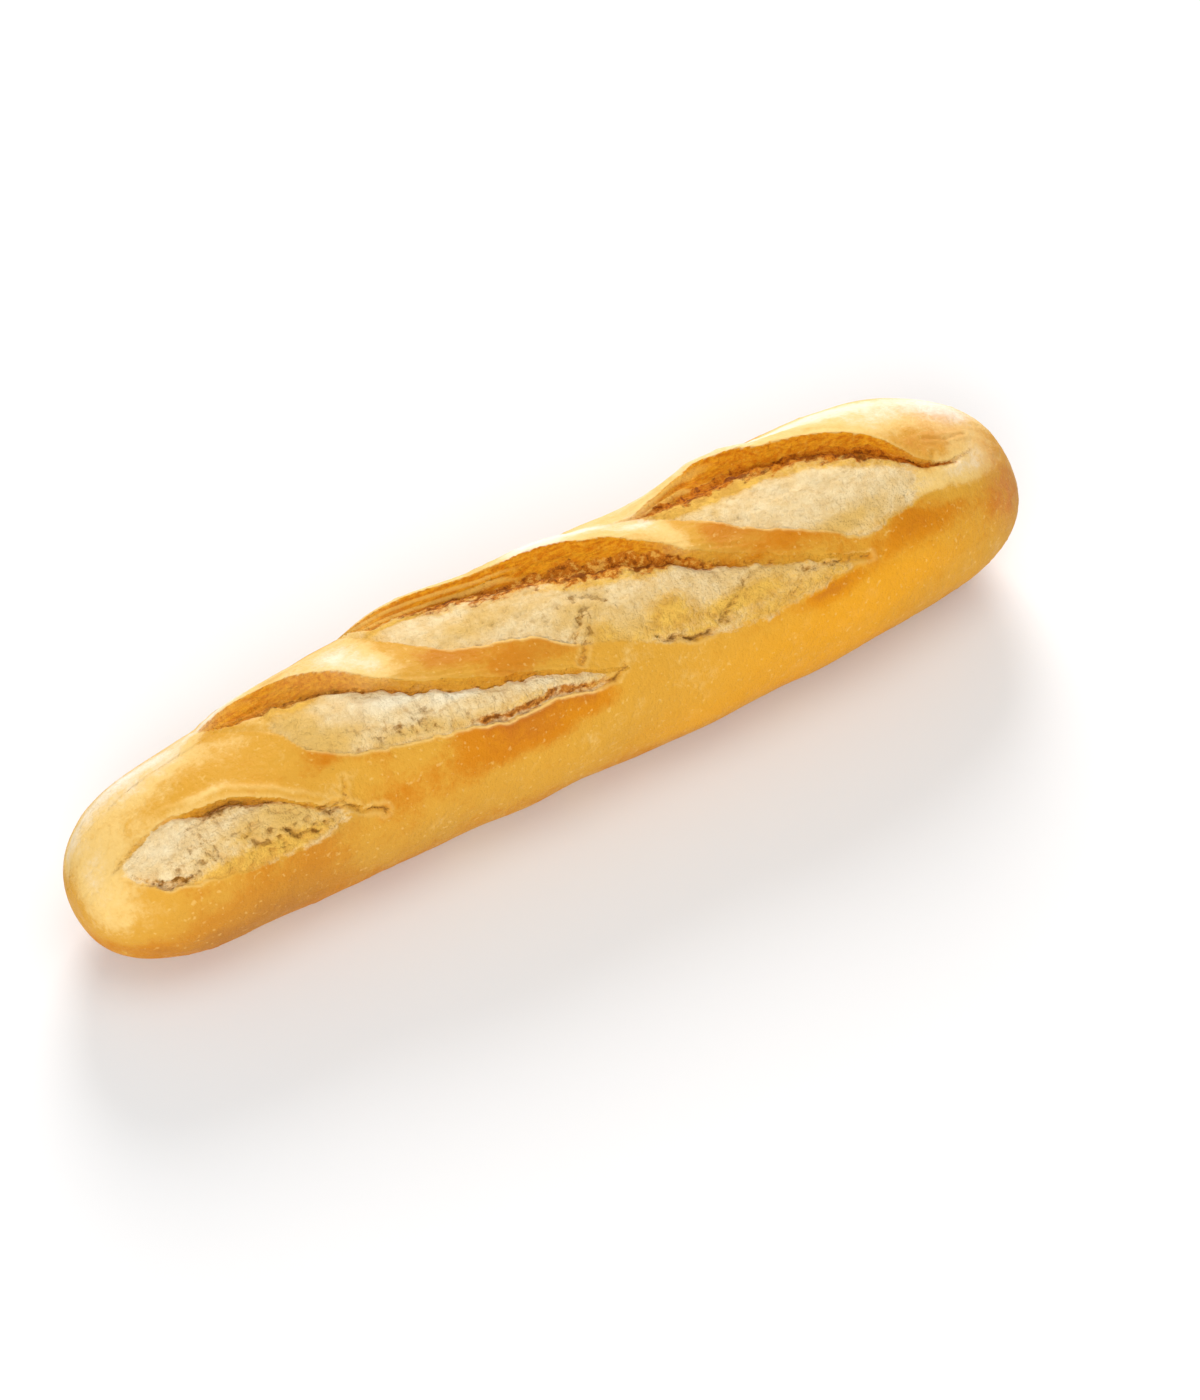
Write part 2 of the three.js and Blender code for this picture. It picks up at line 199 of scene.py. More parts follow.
        "reach": 9.0,
        "outer_rim": 0.0,
        "warm": 1.0,
        "shown": [(28.5, 0.2), (36.5, 1), (92, 1), (99, 0.6), (108, 0.2), (123.5, 0)],
        "fibrous": 0.15,
        "tone": [(28.5, 0.5), (42.5, 0.8), (51, 1), (97.5, 1), (104, 0.5), (123.5, 0.1)],
        "crisp": [(28.5, 0), (40.5, 0.3), (51, 1), (77, 0.9), (84, 0.1), (103, 0), (123.5, 0)],
        "ragged": [(28.5, 0.3), (45, 0.5), (51, 1), (67, 0.9), (73.5, 0.4), (123.5, 0.4)],
        "frayed": [(28.5, 2), (38, 4.0), (50, 4.6), (60, 5.8), (68, 6.0), (75, 5.4), (85, 5.2), (95, 3.5), (102, 1.7),
                   (110, 1.4), (123.5, 0.6)],
        "torn_from": [(28.5, 0.15), (46, 0.4), (58, 0.52), (96, 0.45), (123.5, 0.4)],
        "light": [(28.5, 0.6), (60, 0.9), (96, 0.9), (108, 0.2), (123.5, 0.1)],
        "layered": [(28.5, 1), (50, 0.8), (64, 0.25), (123.5, 0.1)],
    },
]

# Low waves all over the loaf: their height, their length, how many make a turn, and their phase.
DENTS = [(0.35, 83, 2, 0.7), (0.25, 47, 4, 2.9), (0.15, 29, -5, 4.4)]

# Cracks in the crust and the crumb: their half width, their depth, how dark the painted shade in them is, and their
# points as (x, angle).
CRACKS = [
    (0.4, 0.5, 0.25, [(-64, 19.5), (-59.5, 22.5), (-54.5, 28), (-49.8, 33.5), (-42.8, 39.5)]),
    (0.6, 0.8, 0.7, [(4, 18), (1, 22), (-1, 24.5), (-2, 28)]),
    (0.55, 1.2, 1, [(1, 30.5), (-1, 34.5), (-2.5, 38)]),
    (0.45, 0.9, 0.9, [(-78, 46), (-75, 47.5), (-72, 48), (-71, 50)]),
    (0.4, 0.9, 0.8, [(-71.5, 49), (-71, 45), (-70, 42.5), (-69.5, 38.5)]),
    (0.45, 1.0, 0.9, [(-71, 52), (-69, 55), (-67, 59), (-65, 60.5), (-63, 63.5), (-62.5, 66.5)]),
    (0.55, 1.3, 1, [(18, 42), (21, 44.5), (24.5, 46.5), (27, 50), (30, 51.5), (32.5, 51)]),
    (0.75, 1.0, 0.7, [(32.5, 51), (36, 48), (38.5, 45), (41, 42.5), (43.5, 39), (46, 35.5)]),
    (0.5, 0.7, 0.6, [(46.5, 34.5), (49, 33), (52, 32.5), (55, 33.5)]),
    (0.7, 0.8, 0.6, [(55.5, 52), (57.5, 49.5), (60, 47), (62.5, 44)]),
    (0.5, 0.9, 0.8, [(60, 42), (63, 44), (66, 45.5), (69.5, 47.5), (73.5, 50), (77, 51.5), (79.5, 53.5)]),
    (0.5, 0.6, 0.5, [(42.5, 22.5), (44.5, 24.5), (47.5, 27.5)]),
    (0.4, 0.6, 0.5, [(109.5, 19), (108.8, 21.5), (108, 25)]),
    (0.35, 0.4, 0.3, [(109, 9), (113, 11.5), (118, 12.5), (122.5, 11)]),
    (0.5, 0.7, 0.6, [(-98.5, 40), (-96, 38), (-93.5, 37.5)]),
    (0.6, 1.0, 0.8, [(-88, 46), (-87, 50.5), (-84.5, 54), (-82, 54.5)]),
    (0.5, 0.9, 0.8, [(-81.5, 52.5), (-80, 57)]),
    (0.4, 0.8, 0.6, [(-78.5, 54), (-77, 58.5)]),
    (0.45, 0.6, 0.5, [(-90.5, 33), (-88, 36), (-85, 38.5), (-83, 42)]),
    (0.5, 0.9, 0.9, [(0, 50.5), (3.5, 50.8), (6.8, 49), (7.2, 47)]),
    (0.5, 0.8, 0.8, [(-77.5, 47.5), (-76, 50.5), (-73.5, 51)]),
    (0.4, 0.7, 0.6, [(-92, 53.5), (-89.5, 55.5)]),
    (0.35, 0.6, 0.5, [(-57, 28), (-56, 31.5)]),
    (0.4, 0.7, 0.6, [(-52, 30), (-51, 34.5)]),
    (0.35, 0.6, 0.6, [(-49, 31.5), (-48, 35.5)]),
    (0.4, 0.7, 0.65, [(-46, 33), (-45.5, 37)]),
    (0.35, 0.6, 0.5, [(-43, 35.5), (-42, 39)]),
    (0.35, 0.6, 0.5, [(-39.5, 38), (-39, 41.5)]),
    (0.45, 0.8, 0.6, [(-122, 37), (-121.5, 42)]),
    (0.55, 0.8, 0.6, [(-120.5, 45), (-118.5, 48.5), (-115.5, 50), (-112, 47.5)]),
    (0.4, 0.7, 0.5, [(-115.5, 42), (-113.5, 45), (-113, 48)]),
    (0.5, 0.8, 0.6, [(-107.5, 39.5), (-105, 43.5), (-104, 48)]),
    (0.5, 0.6, 0.35, [(-112.5, 31), (-110.5, 26), (-107, 23), (-104, 21)]),
]
CRACK_WANDER = 0.6
# The raised rim beside a crack: how far from its middle, how wide and how high.
CRACK_RIM, CRACK_RIM_WIDTH, CRACK_RIM_HEIGHT = 1.4, 0.7, 0.22

# Soft round patches: the middle's x and angle, the reach along the loaf in millimetres and round it in degrees, and
# how much. Here the crust is baked darker, or below 0 paler with a painted highlight.
BAKE_AND_HIGHLIGHT = [
    (-16, 25, 14, 8, 0.45), (-32, 12, 9, 6, 0.4), (60, 26, 16, 8, 0.45), (48, 10, 8, 7, 0.3), (68, 60, 16, 5, 0.6),
    (98, 52, 15, 8, 0.65), (118, 60, 12, 16, 0.25), (132, 46, 7, 36, 0.2), (-95, 82, 26, 18, 0.6),
    (-15, 57, 18, 7, 0.6), (-44, 60, 18, 12, 0.4), (-106, 100, 28, 15, 0.8), (-134, 28, 8, 50, -0.8),
    (-120, 0, 12, 34, -0.2), (-128, -42, 10, 20, -0.7), (-106, -34, 17, 22, -0.85), (-56, -22, 9, 17, -1.1),
    (-50, -3, 6, 8, -0.5), (-45, 5, 5, 4, -0.25), (-38, 13, 5, 3, -0.3), (-34, 5, 10, 7, 0.4), (-91, -27, 4, 8, 0.5),
    (-82, -42, 10, 6, -0.6), (29, -38, 13, 14, -0.5), (35, -2, 7, 13, -0.65), (48, -42, 14, 8, -0.8),
    (103, -26, 26, 18, -0.95), (124, -22, 9, 20, -0.9), (122, 20, 8, 16, -0.5), (112, 33, 15, 9, -0.7),
    (-22, -44, 30, 10, -0.7), (12, -27, 20, 9, -1.3), (-74, -44, 14, 8, -0.9), (-68, -26, 5, 6, -0.6),
    (74, -32, 22, 10, -0.9), (108, 10, 10, 9, 0.1), (104, -8, 12, 12, -0.4), (-67, 38, 14, 8, -0.1),
    (30, 72, 26, 12, -0.1), (-72, 26, 6, 5, 0.3), (-30, 66, 14, 7, 0.3), (-110, -46, 16, 9, -0.6),
    (-104, 11, 12, 3, -0.4), (-80, -10, 6, 9, -0.35), (124, -5, 8, 10, -0.4), (2, -27, 9, 6, -0.7),
    (46, 6, 6, 10, 0.35), (28, -34, 8, 7, 0.35), (29, -14, 8, 6, -0.8), (40, -6, 5, 8, 0.3), (58, -22, 10, 5, 0.3),
]
# Where the crumb is browned to crust, or below 0 where it stays pale beside the torn band.
TOASTED = [
    (-100, 52, 16, 7, 0.9), (-107, 57, 14, 5, 0.6), (-83, 56, 12, 6, 0.8), (-98, 41, 4, 3, 0.6), (24, 33, 7, 9, 1),
    (48, 43, 12, 7, 0.8), (5, 30, 5, 8, 0.8), (36, 42, 12, 5, 0.6), (70, 51, 14, 6, 0.7), (-82, -14, 8, 8, 1),
    (-68, -6, 8, 4, 0.6), (44, -14, 10, 6.5, 1), (60, -8, 8, 4, 0.4), (28, 49, 10, 4, 0.7), (-44, -22, 5, 9, 0.6),
    (90, 41, 14, 3, 0.6), (48, 54, 12, 4, 0.8), (-8, -6, 12, 5, -0.4), (-20, -15, 10, 5, -0.45),
    (-32, -25, 9, 5, -0.45), (-21, 43, 9, 3.5, 0.6), (-2, 49, 8, 4, 0.6), (-36, -26, 10, 3, 0.8),
    (12, 40, 10, 6, 0.6),
]
# Where the crumb is smooth and tanned, or below 0 where it is whiter.
TANNED = [
    (-46, 17, 9, 5, -1.2), (-33, 27, 12, 5, -1.2), (-57, 12, 8, 7, -0.7), (-14, 38, 10, 5, -0.5),
    (-117, 25, 9, 11, -0.5), (-102, 25, 9, 7, -0.2), (-28, -20, 10, 5, -0.3), (62, 4, 12, 10, -0.3),
    (-74, 2, 9, 18, 0.9), (-67, 21, 10, 9, 0.9), (-50, 35, 14, 6, 0.8), (-36, 42, 12, 4, 0.6), (-22, -2, 16, 11, 0.7),
    (2, 16, 12, 14, 0.6), (76, 34, 15, 7, 0.95), (94, 30, 10, 10, 0.2), (-84, 42, 12, 13, 1), (-97, 36, 8, 8, 0.4),
    (-108, 40, 6, 8, 0.5), (24, 24, 16, 16, 0.3), (52, 36, 16, 10, 0.6), (48, -4, 10, 8, 0.5), (60, 50, 16, 6, 0.6),
    (10, 36, 12, 10, 0.7),
]
# Where the crumb has more pits, and where it is torn into an open web.
PITTED = [
    (-118, 44, 8, 8, 1), (-108, 36, 8, 12, 0.7), (-98, 47, 12, 8, 0.6), (-84, 50, 10, 9, 1), (-100, 28, 8, 5, 0.5),
    (-52, 31, 14, 5, 1), (-34, 40, 14, 4, 0.8), (-40, 24, 20, 5, 0.3), (4, 14, 14, 14, 0.8), (30, 20, 16, 8, 0.5),
    (58, 44, 22, 8, 0.8), (36, 46, 14, 6, 0.8), (56, 0, 16, 10, 0.3), (88, 14, 14, 9, 0.35), (-22, 2, 16, 12, 0.6),
    (-102, 40, 12, 10, 0.5), (70, 20, 14, 10, 0.3), (2, 28, 6, 10, 0.9), (96, 36, 10, 6, 0.6),
]
WEBBED = [
    (-80, 57, 14, 12, 1), (-92, 46, 9, 8, 0.8), (-117, 53, 8, 7, 0.8), (68, 54, 14, 5, 1), (38, 52, 8, 5, 0.8),
    (56, 60, 10, 4, 0.6),
]
# Where the crust is redder, more yellow and duller than elsewhere.
BLUSHED = [(127, 36, 6, 36, 0.5), (110, 12, 10, 10, 0.4), (128, 62, 7, 20, 0.7), (118, -6, 8, 14, 0.5)]
SUNNY = [
    (62, 76, 32, 18, 0.8), (90, 72, 20, 14, 0.8), (25, 100, 28, 14, 0.5), (70, 104, 36, 16, 0.9),
    (-15, 56, 18, 6, 0.5),
]
DULL = [
    (-98, 82, 26, 22, 0.9), (-108, 104, 26, 14, 0.8), (-36, 10, 12, 10, 0.5), (-10, 24, 14, 8, 0.35),
    (50, 14, 14, 8, 0.45), (-60, 96, 30, 18, 0.5), (-76, 61, 10, 7, 0.6), (107, 12, 9, 10, 0.5),
]
# How darkly the rest of the crust is baked, and how much darker it gets below a height, over so many millimetres.
PLAIN_BAKE = 0.3
LOW_BAKE_HEIGHT, LOW_BAKE, LOW_BAKE_FADE = 22, 0.35, 11

# What the surface is made of and where shade and highlights are painted on it, each a number at every point: what
# the material reads from the mesh, and the rest.
MASKS = (
    "crumb", "toast", "fibrous", "wall", "tone", "torn", "gap", "rim_highlight", "bake_and_highlight", "strata", "blush", "sun", "dull", "tan",
    "pitted", "warm",
)
INNER_MASKS = ("flaky", "web", "under", "halo")

# The noises' seeds. A cut's or a crack's number is added to its own.
SEEDS = {
    "lip": 10, "lip_grain": 15, "foot": 20, "low": 30, "low_grain": 40, "crack_x": 60, "crack_y": 90,
    "crack_breaks": 120, "fringe": 200, "torn_top": 220, "layers": 230, "speckles": 240,
    "streaks": 101, "lumps": 103, "pits": 105, "dimples": 106, "grains": 107, "split": 108, "fibres": 109,
    "blisters": 111, "wrinkles": 113, "flakes": 115, "swells": 117,
}

# The fine mesh: rings along the loaf and points on a ring, and how close the points are in each stretch of angles.
RINGS = 455
ROUND = 216
CLOSENESS = [(-180, 0.16), (-82, 0.16), (-72, 0.45), (-60, 0.6), (-52, 1), (72, 1), (80, 0.5), (130, 0.4), (150, 0.16)]


def clamp01(t):
    return np.clip(t, 0.0, 1.0)


def smooth(t):
    t = clamp01(t)
    return t * t * (3 - 2 * t)


def mix(a, b, t):
    return a + (b - a) * t


def bell(distance, width):
    """1 at no distance, and fading to 0 over the width."""
    return np.exp(-((distance / width) ** 2))


def curve(points, x):
    """A smooth curve through (x, value) points, level beyond them."""
    px, value = np.array(points, float).T
    rate = np.diff(value) / np.diff(px)
    same_way = rate[1:] * rate[:-1] > 0
    middle = 2 * rate[1:] * rate[:-1] / np.where(same_way, rate[1:] + rate[:-1], 1)
    slope = np.concatenate([rate[:1], np.where(same_way, middle, 0), rate[-1:]])
    i = np.clip(np.searchsorted(px, x) - 1, 0, len(px) - 2)
    step = px[i + 1] - px[i]
    t = clamp01((x - px[i]) / step)
    start, end = value[i], value[i + 1]
    out, back = slope[i] * step, slope[i + 1] * step
    return (
        start * (2 * t**3 - 3 * t**2 + 1) + out * (t**3 - 2 * t**2 + t)
        + end * (3 * t**2 - 2 * t**3) + back * (t**3 - t**2)
    )


def lattice(seed, *cell):
    """A number from -1 to 1 for each whole-numbered cell, the same for the same seed."""
    h = np.full(np.broadcast(*cell).shape, seed * 374761393 + 1274126177, np.uint64)
    for c, prime in zip(cell, (668265263, 2246822519, 3266489917)):
        h = (h ^ (c.astype(np.int64).astype(np.uint64) * np.uint64(prime))) & np.uint64(0xFFFFFFFF)
        h = (h * np.uint64(2654435761)) & np.uint64(0xFFFFFFFF)
        h = h ^ (h >> np.uint64(15))
    return h.astype(float) / 0x7FFFFFFF - 1


def noise(seed, *place):
    """Smooth noise from about -1 to 1 at a place of one to three coordinates, with features about one unit wide."""
    place = np.broadcast_arrays(*[np.asarray(p, float) for p in place])
    low = [np.floor(p) for p in place]
    share = [smooth(p - q) for p, q in zip(place, low)]
    total = 0
    for corner in range(2 ** len(place)):
        bits = [(corner >> k) & 1 for k in range(len(place))]
        weight = 1
        for s, bit in zip(share, bits):
            weight = weight * (s if bit else 1 - s)
        total = total + weight * lattice(seed, *[q + bit for q, bit in zip(low, bits)])
    return total


def layered(seed, octaves, *place):
    """Noise with finer and weaker layers on it."""
    return sum(noise(seed + k, *[p * 2.03**k for p in place]) * 0.5**k for k in range(octaves))


def end_share(distance, end):
    """The share of its full size that the loaf has at a distance from one of its ends."""
    return (1 - (1 - clamp01(distance / end["length"])) ** end["power"]) ** (1 / end["power"])


def section(x):
    """The loaf's section at x: the share its ends leave, the share its body has, and how far it lies to the back."""
    ends = end_share(x + LENGTH / 2, LEFT_END) * end_share(LENGTH / 2 - x, RIGHT_END)
    return ends, curve(BODY, x), curve(BEND, x)


def dents(x, angle):
    return sum(
        height * np.sin(2 * np.pi * (x / length + angle / 360 * turns) + phase)
        for height, length, turns, phase in DENTS
    )


def edges(number, x, mm_per_degree):
    """Where a cut's lip, wall foot and lower edge lie at x, all a little ragged, and how far it is open there."""
    cut = CUTS[number]
    first, last = cut["lip"][0][0], cut["lip"][-1][0]
    lip = curve(cut["lip"], x)
    foot = np.maximum(curve(cut["foot"], x), lip)
    low = np.maximum(curve(cut["low"], x), foot)
    width = np.where((x > first) & (x < last), (low - lip) * mm_per_degree, 0)
    opened = smooth((width - NARROW) / (WIDE - NARROW))
    torn = 0.8 * curve(cut["ragged"], x) * noise(SEEDS["lip"] + number, x / 3.2)
    torn = torn + 0.2 * layered(SEEDS["lip_grain"] + number, 2, x / 1.4)
    uneven = 0.7 * noise(SEEDS["low"] + number, x / 8.0) + 0.45 * layered(SEEDS["low_grain"] + number, 3, x / 3.2)
    lip = lip + opened * torn / mm_per_degree
    foot = foot + opened * 0.6 * layered(SEEDS["foot"] + number, 3, x / 3.0) / mm_per_degree
    low = low + opened * uneven / mm_per_degree
    foot = np.maximum(foot, lip + 0.1)
    return lip, foot, np.maximum(low, foot + 0.1), opened


def patches(rows, x, angle):
    """The sum of soft round patches, which fade out at the loaf's tips."""
    total = sum(how * np.exp(-((x - cx) / rx) ** 2 - ((angle - ca) / ra) ** 2) for cx, ca, rx, ra, how in rows)
    return total * smooth((section(x)[0] - 0.1) / 0.45)


def segment_distance(x, y, a, b):
    """The distance from points to a segment, all in millimetres on the unrolled crust."""
    along_x, along_y = b[0] - a[0], b[1] - a[1]
    share = clamp01(((x - a[0]) * along_x + (y - a[1]) * along_y) / (along_x**2 + along_y**2))
    return np.hypot(x - a[0] - share * along_x, y - a[1] - share * along_y)


class Fields(dict):
    """Numbers over a grid of the surface's points, by name: relief and lean in millimetres, and the masks."""

    def add(self, name, amount):
        self[name] = self[name] + amount

    def cover(self, name, amount):
        """Raise a field to the amount wherever it is lower."""
        self[name] = np.maximum(self[name], amount)


def add_cut(made, number, x, angle, arc, mm_per_degree):
    """Cut the surface: the ear, the torn wall, the crevice, the crumb and its lower edge, and what each is made of."""
    # Besides what each is made of, the masks here carry painted shade and highlights.
    cut = CUTS[number]
    lip, foot, low, opened = edges(number, x, mm_per_degree)
    at = {name: curve(points, x) for name, points in cut.items() if isinstance(points, list)}
    ear, depth, groove, dark = (opened * at[name] for name in ("ear", "depth", "groove", "dark"))
    ridge = 0.5 * opened * at["step"]
    crisp, layer, frayed = at["crisp"], at["layered"], at["frayed"]

    # Millimetres behind the lip, past the foot and past the lower edge; shares down the wall and over the crumb.
    behind = (lip - angle) * mm_per_degree
    past_foot = (angle - foot) * mm_per_degree
    past_low = (angle - low) * mm_per_degree
    down = clamp01((angle - lip) / (foot - lip))
    over = clamp01(past_foot / np.maximum(past_foot - past_low, 0.1))
    up_crust, outside = np.maximum(behind, 0), np.maximum(past_low, 0)
    on_crust, on_wall = behind >= 0, (behind < 0) & (past_foot < 0)
    on_crumb = (past_foot >= 0) & (past_low < 0)

    # The form.
    rise = ear * np.exp(-((up_crust / cut["reach"]) ** EAR_FALL))
    wall = mix(ear, -depth, 1 - (1 - down) ** WALL_HOLLOW)
    wall = wall + LEDGE_HEIGHT * (ear + depth) * bell(down - LEDGE, LEDGE_WIDTH) * smooth(down / LEDGE)
    layer_noise = noise(SEEDS["layers"] + number, x / 9.0, down * 2)
    strata = 0.5 - 0.5 * np.cos(2 * np.pi * (LAYERS * down + 0.35 * layer_noise))
    wall = wall + LAYER_HEIGHT * layer * (strata - 0.5) * smooth(4 * down) * smooth(4 - 4 * down)
    crevice = depth * clamp01(1 - past_foot / CREVICE_WIDTH) ** 2
    step_width = mix(*STEP_WIDTHS, crisp)
    edge = ridge * smooth((past_low + step_width) / step_width)
    swell = opened * CRUMB_SWELL * np.sin(np.pi * over)
    crumb = swell - crevice - edge - bell(past_low + GROOVE_INSIDE, GROOVE_WIDTH) * groove
    past = ridge * np.exp(-outside / RIDGE_REACH)
    made.add("relief", np.where(on_crust, rise, np.where(on_wall, wall, np.where(on_crumb, crumb, past))))
    made.add("lean", EAR_LEAN * ear * bell(behind, 1.5))

    # The crumb, the wall and the crust beside them.
    inside = np.minimum(past_foot, -past_low)
    shown = opened * smooth(inside / mix(*CRUMB_EDGES, crisp) * 0.5 + 0.5) * (past_foot > -1.0) * at["shown"]
    made.cover("crumb", shown)
    made.cover("fibrous", cut["fibrous"] * (opened > 0) * on_crumb)
    made.cover("wall", np.where(on_wall, 0.02 + 0.98 * down, 0) * (opened > 0))
    made.cover("tone", at["tone"] * (opened > 0) * on_wall)
    made.cover("strata", layer * strata * on_wall * (opened > 0))
    made.cover("flaky", opened * bell(up_crust, 3.5) * on_crust * smooth((at["ragged"] - 0.35) * 4))
    beneath = smooth(past_low / 0.8) * np.exp(-outside / 5.5) * at["under"]
    made.cover("under", opened * beneath)

    # The torn band along the foot, partly painted shade, which frays out over the crumb, a dotted line of painted
    # shade along the foot, and the toasted crumb beside it.
    fringe = frayed * (1 + 0.35 * layered(SEEDS["fringe"] + number, 3, x / 3.2, arc / 2.2))
    below = smooth(1.3 - np.maximum(past_foot, 0) / np.maximum(fringe, 0.3))
    torn_top = 0.14 * layered(SEEDS["torn_top"] + number, 3, x / 3.0, arc / 1.8)
    above = smooth((down - at["torn_from"] + torn_top) / 0.25)
    band = dark * below * above
    made.cover("torn", band)
    made.cover("warm", cut["warm"] * smooth(3 * band))
    speckled = clamp01(0.55 + 0.75 * layered(SEEDS["speckles"] + number, 2, x / 1.9, arc / 1.5))
    made.cover("gap", dark * speckled * bell(past_foot - 0.3 * frayed, 0.45 + 0.35 * frayed))
    halo = bell(np.maximum(past_foot - 1.15 * frayed, 0), 1.5) * smooth((frayed - 1.2) / 1.5) * on_crumb
    made.cover("halo", 0.75 * opened * halo * at["tone"])

    # The groove at the lower edge, darkened with painted shade, and painted highlights on the lip, the lower edge and
    # a second rim further up the crust.
    grooved = smooth(groove)
    made.cover("gap", 0.8 * grooved * speckled * bell(past_low + GROOVE_INSIDE, 0.7))
    cleft = 0.95 * grooved * bell(past_low + 1.4, 1.25)
    made.cover("torn", cleft)
    made.cover("warm", 1.6 * cut["warm"] * smooth(3 * cleft))
    lip_highlight = bell(up_crust, 1.2) * (behind > -0.3) * smooth(ear) * at["light"]
    low_edge_highlight = bell(past_low - 0.3, 0.45) * smooth(3 * ridge) * smooth(crisp * 1.4)
    outer_rim = cut["outer_rim"] * bell(behind - 2.8, 0.9) * smooth(ear)
    made.add("relief", 0.25 * outer_rim)
    made.cover("rim_highlight", opened * np.maximum(np.maximum(0.8 * lip_highlight, low_edge_highlight), 0.5 * outer_rim))


def add_crack(made, number, x, arc):
    """Crack the surface: a wandering, broken cleft with a slightly raised and paler rim on each side."""
    half_width, depth, dark, points = CRACKS[number]
    points = [(px, pa * MM_PER_DEGREE) for px, pa in points]
    wander_x = x + CRACK_WANDER * layered(SEEDS["crack_x"] + number, 3, x / 3.4, arc / 3.4)
    wander_y = arc + CRACK_WANDER * layered(SEEDS["crack_y"] + number, 3, x / 3.4, arc / 3.4)
    far = np.minimum.reduce([segment_distance(wander_x, wander_y, a, b) for a, b in zip(points, points[1:])])
    broken = clamp01(0.75 + 0.5 * noise(SEEDS["crack_breaks"] + number, x / 1.7, arc / 1.7))
    cleft = broken * bell(far, half_width)
    made.add("relief", -depth * cleft)
    made.add("relief", CRACK_RIM_HEIGHT * bell(far - CRACK_RIM, CRACK_RIM_WIDTH))
    # Painted shade in the cleft, a darker torn band round it, and a painted highlight on its rims.
    made.cover("gap", dark * cleft)
    made.cover("torn", 0.5 * dark * bell(far, 2.0 * half_width))
    made.cover("rim_highlight", 0.35 * dark * bell(far - 1.3, 0.5))


def surface(x, angle, cracked=True):
    """The loaf's surface at x and an angle, as places in millimetres and what the surface is made of there."""
    # Besides what the surface is made of, the masks carry painted shade and highlights.
    ends, body, bend = section(x)
    share = ends * body
    mm_per_degree = np.maximum(MM_PER_DEGREE * share, 0.05)
    relief = dents(x, angle) * ends
    made = Fields({name: np.zeros(relief.shape) for name in MASKS + INNER_MASKS + ("lean",)}, relief=relief)
    arc = made["arc"] = angle * MM_PER_DEGREE
    for number in range(len(CUTS)):
        add_cut(made, number, x, angle, arc, mm_per_degree)
    # How darkly the crust is baked, and below 0 paler with painted highlights.
    made["bake_and_highlight"] = PLAIN_BAKE + patches(BAKE_AND_HIGHLIGHT, x, angle) + made["under"]
    for name, rows in (("blush", BLUSHED), ("sun", SUNNY), ("dull", DULL), ("tan", TANNED), ("pitted", PITTED)):
        made[name] = np.clip(patches(rows, x, angle), -1, 1)
    made["web"] = made["crumb"] * smooth(patches(WEBBED, x, angle))
    for number in range(len(CRACKS) if cracked else 0):
        add_crack(made, number, x, arc)
    made["toast"] = clamp01(patches(TOASTED, x, angle) + made["halo"])

    turned = np.radians(angle + made["lean"] / mm_per_degree)
    sin, cos = np.sin(turned), np.cos(turned)
    half_height = np.where(cos > 0, HEIGHT - CENTRE_HEIGHT, CENTRE_HEIGHT + UNDERSIDE_CUT)
    y = bend - (0.5 * WIDTH * share + made["relief"]) * sin
    z = CENTRE_HEIGHT * body + (half_height * share + made["relief"]) * cos
    place = np.stack(np.broadcast_arrays(x, y, np.maximum(z, 0)), -1)
    made.add("bake_and_highlight", LOW_BAKE * smooth((LOW_BAKE_HEIGHT - z) / LOW_BAKE_FADE))
    made["inland"] = smooth((ends - 0.2) / 0.5)
    return place, made


def ring_places(count):
    """Places along X, evenly spaced over the loaf's outline."""
    x = -0.5 * LENGTH * np.cos(np.linspace(0, np.pi, 4001))
    half = 0.5 * WIDTH * section(x)[0]
    run = np.concatenate([[0], np.cumsum(np.hypot(np.diff(x), np.diff(half)))])
    return np.interp(run[-1] * np.arange(1, count + 1) / (count + 1), run, x)


def ring_angles(x, count):
    """Each ring's angles, spaced by the length of the surface between them and closer where the cuts are."""
    fine = np.linspace(-180, 180, 1201)
    place, _ = surface(x[:, None], fine[None, :], cracked=False)
    step = np.linalg.norm(np.diff(place, axis=1), axis=2)
    middle = 0.5 * (fine[1:] + fine[:-1])
    full = 0.5 * WIDTH * np.radians(fine[1] - fine[0])
    weight = np.maximum(step, 0.5 * full) * np.interp(middle, *zip(*CLOSENESS))
    # The spacing changes slowly from ring to ring: each takes a share of its six neighbours' on either side.
    kernel = np.exp(-np.linspace(-2, 2, 13) ** 2)
    padded = np.pad(weight, ((6, 6), (0, 0)), mode="edge")
    weight = sum(k * padded[i : i + len(x)] for i, k in enumerate(kernel / kernel.sum()))
    run = np.concatenate([np.zeros((len(x), 1)), np.cumsum(weight, axis=1)], axis=1)
    wanted = np.arange(count) / count
    return np.stack([np.interp(wanted * row[-1], row, fine) for row in run])


def normals(place):
    """The outward normals of a grid of places, whose second way closes on itself."""
    down = np.gradient(place, axis=0)
    around = np.roll(place, -1, axis=1) - np.roll(place, 1, axis=1)
    n = np.cross(around, down)
    return n / np.maximum(np.linalg.norm(n, axis=2, keepdims=True), 1e-9)


